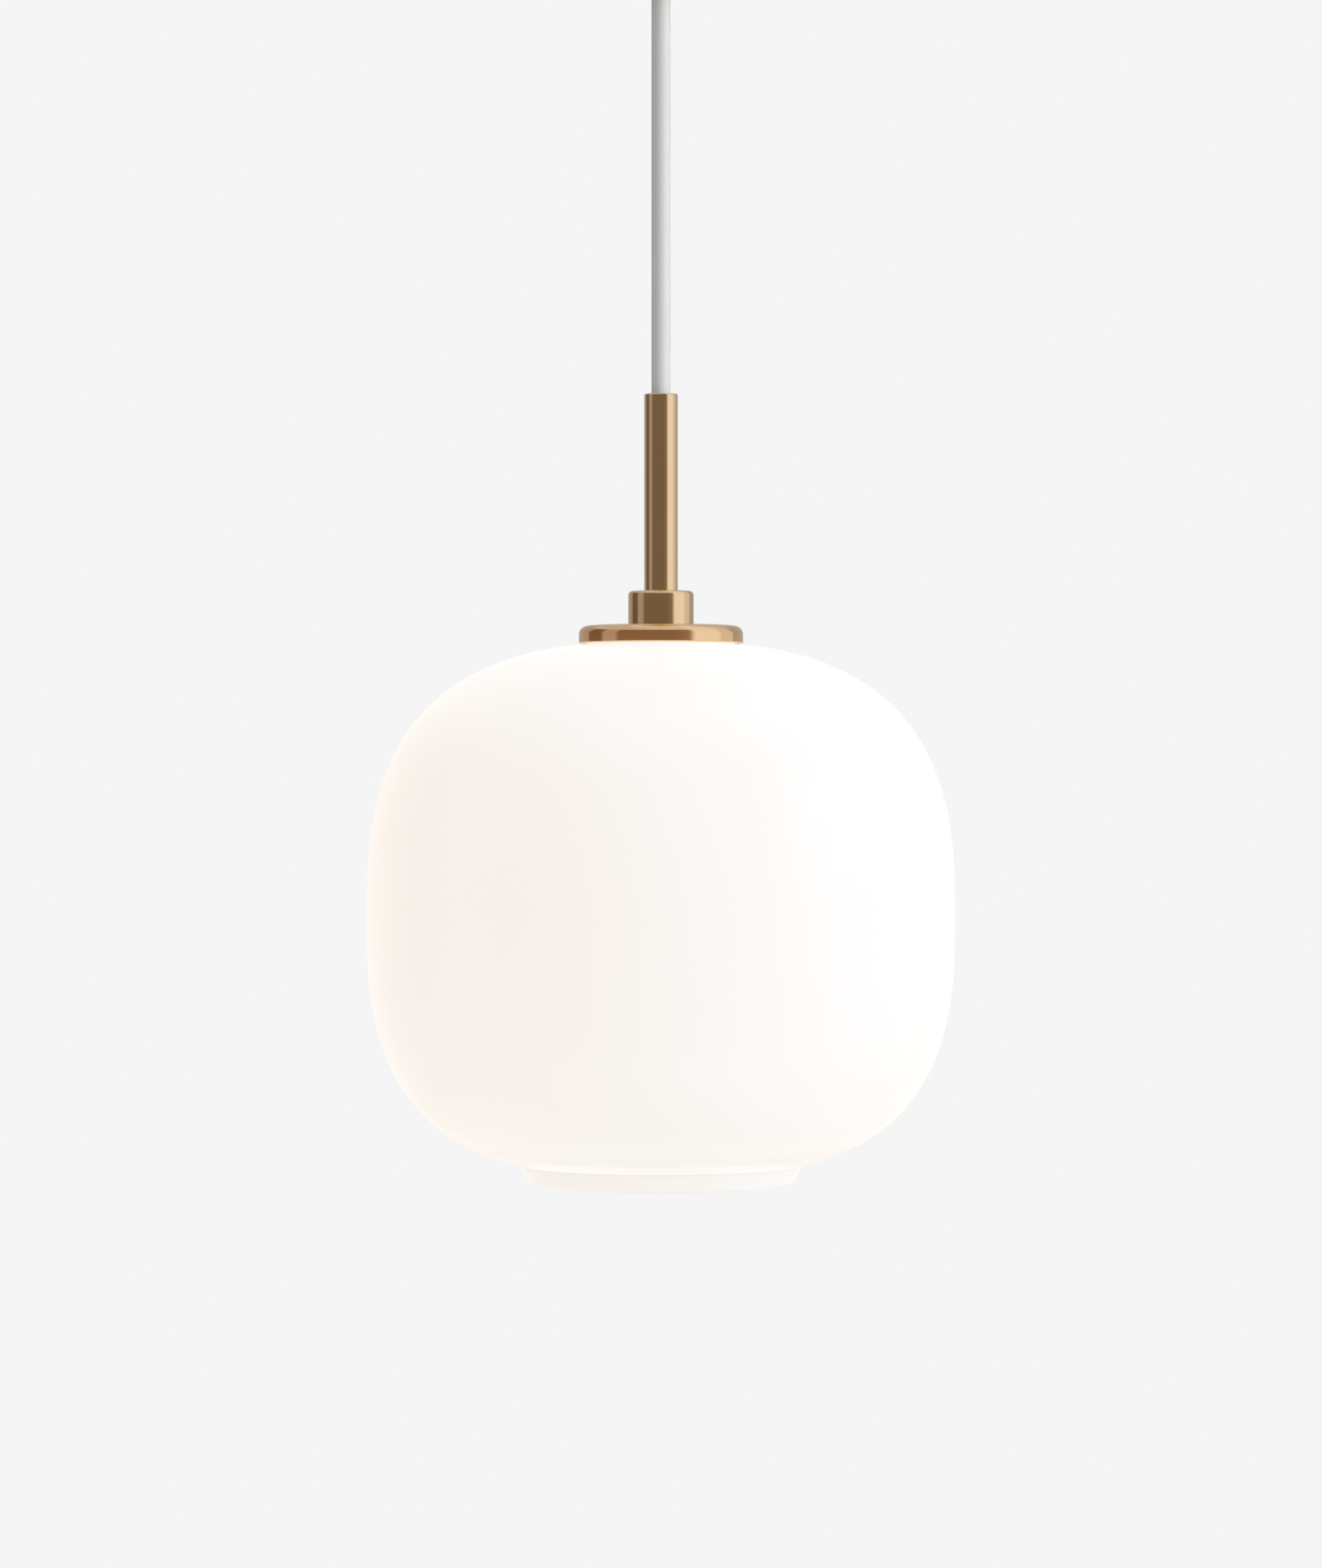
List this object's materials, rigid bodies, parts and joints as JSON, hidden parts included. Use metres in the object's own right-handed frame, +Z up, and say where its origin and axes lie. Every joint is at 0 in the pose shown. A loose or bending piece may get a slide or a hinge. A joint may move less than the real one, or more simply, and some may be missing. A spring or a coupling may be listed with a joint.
{
  "type": "pendant ceiling light",
  "caption": "Pendant light with a rounded opal glass shade under a flat brass disc, collar and stem, hung on a round cord from a brass ceiling cup.",
  "frame": {"origin": "middle of the bracket's top face, which rests on the ceiling", "axes": "+Z up into the ceiling; the light hangs below along -Z; +X along the bracket, through its two slots and the two side screws"},
  "size_m": [0.175, 0.175, 0.4191],
  "materials": {
    "zinc_steel": "zinc-plated, satin",
    "screw_steel": "plated, satin",
    "satin_brass": "lacquered satin brass with fine turning marks",
    "contact_brass": "bare brass",
    "block_plastic": "moulded, matt",
    "brown_insulation": "smooth insulation",
    "blue_insulation": "smooth insulation",
    "earth_insulation": "green and yellow striped insulation",
    "cord_sheath": "smooth, slightly glossy sheath",
    "bush_nylon": "moulded nylon",
    "gasket_rubber": "translucent white silicone",
    "holder_plastic": "moulded, matt",
    "core_ceramic": "unglazed",
    "opal_glass": "mouth-blown opal glass, glossy, lit from inside",
    "cap_metal": "pressed and plated",
    "black_insulator": "black glass-like insulator",
    "solder": "solder",
    "bulb_plastic": "moulded, glossy",
    "circuit_board": "solder mask",
    "board_aluminium": "white-faced board",
    "led_phosphor": "phosphor under clear resin",
    "globe_plastic": "opal diffuser, lit"
  },
  "bodies": {
    "root": {"ceiling_bracket": "zinc_steel", "terminal_block": "block_plastic", "terminal_tubes": "contact_brass", "terminal_screws": "screw_steel", "block_screws": "screw_steel", "earth_screw": "contact_brass", "earth_washer": "contact_brass", "live_wire": "brown_insulation", "neutral_wire": "blue_insulation", "earth_wire": "earth_insulation"},
    "canopy": {"canopy_cup": "satin_brass", "canopy_screws": "satin_brass", "canopy_nuts": "zinc_steel", "cord_grip": "satin_brass", "cord_grip_nut": "zinc_steel", "cord_grip_screw": "screw_steel", "cord_head": "cord_sheath"},
    "cord": {"cord": "cord_sheath"},
    "bush": {"stem_bush": "bush_nylon"},
    "lamp": {"stem_tube": "satin_brass", "cord_clamp_screw": "screw_steel", "cord_tail": "cord_sheath", "collar": "satin_brass", "cover_disc": "satin_brass", "upper_gasket": "gasket_rubber", "holder_shell": "holder_plastic", "earth_tag": "contact_brass", "lock_nut": "zinc_steel", "holder_core": "core_ceramic", "contact_shell": "contact_brass", "middle_contact": "contact_brass", "side_contact": "contact_brass", "holder_terminals": "contact_brass", "holder_screws": "screw_steel", "holder_live_wire": "brown_insulation", "holder_neutral_wire": "blue_insulation", "holder_earth_wire": "earth_insulation"},
    "shade": {"glass_shade": "opal_glass", "lower_gasket": "gasket_rubber", "clamp_plate": "zinc_steel"},
    "ring": {"shade_ring": "holder_plastic"},
    "bulb": {"bulb_cap": "cap_metal", "bulb_insulator": "black_insulator", "bulb_tip": "solder", "bulb_housing": "bulb_plastic", "bulb_driver": "circuit_board", "led_board": "board_aluminium", "led_chips": "led_phosphor", "bulb_globe": "globe_plastic"}
  },
  "joints": [
    {"name": "canopy_drop", "type": "slide", "parent": "root", "child": "canopy", "axis": [0, 0, 1], "range_m": [-0.05, 0], "deforming": ["live_wire", "neutral_wire", "earth_wire"]},
    {"name": "cord_swing", "type": "hinge", "parent": "canopy", "child": "cord", "pos_m": [0, 0, -0.058], "axis": [0, 1, 0], "range_deg": [-40, 40], "deforming": ["cord"]},
    {"name": "lamp_tilt", "type": "hinge", "parent": "cord", "child": "bush", "pos_m": [0, 0, -0.184], "axis": [1, 0, 0], "range_deg": [-30, 30]},
    {"name": "lamp_turn", "type": "hinge", "parent": "bush", "child": "lamp", "pos_m": [0, 0, -0.184], "axis": [0, 0, 1], "range_deg": [-180, 180]},
    {"name": "shade_drop", "type": "slide", "parent": "lamp", "child": "shade", "axis": [0, 0, 1], "range_m": [-0.01, 0]},
    {"name": "ring_turn", "type": "hinge", "parent": "shade", "child": "ring", "pos_m": [0, 0, -0.264], "axis": [0, 0, 1], "range_deg": [-1800, 0]},
    {"name": "bulb_out", "type": "slide", "parent": "lamp", "child": "bulb", "axis": [0, 0, 1], "range_m": [-0.14, 0]}
  ],
  "couplings": [
    {"joint": "ring_turn", "follows": "shade_drop", "rad_per_m": 3141.6}
  ]
}
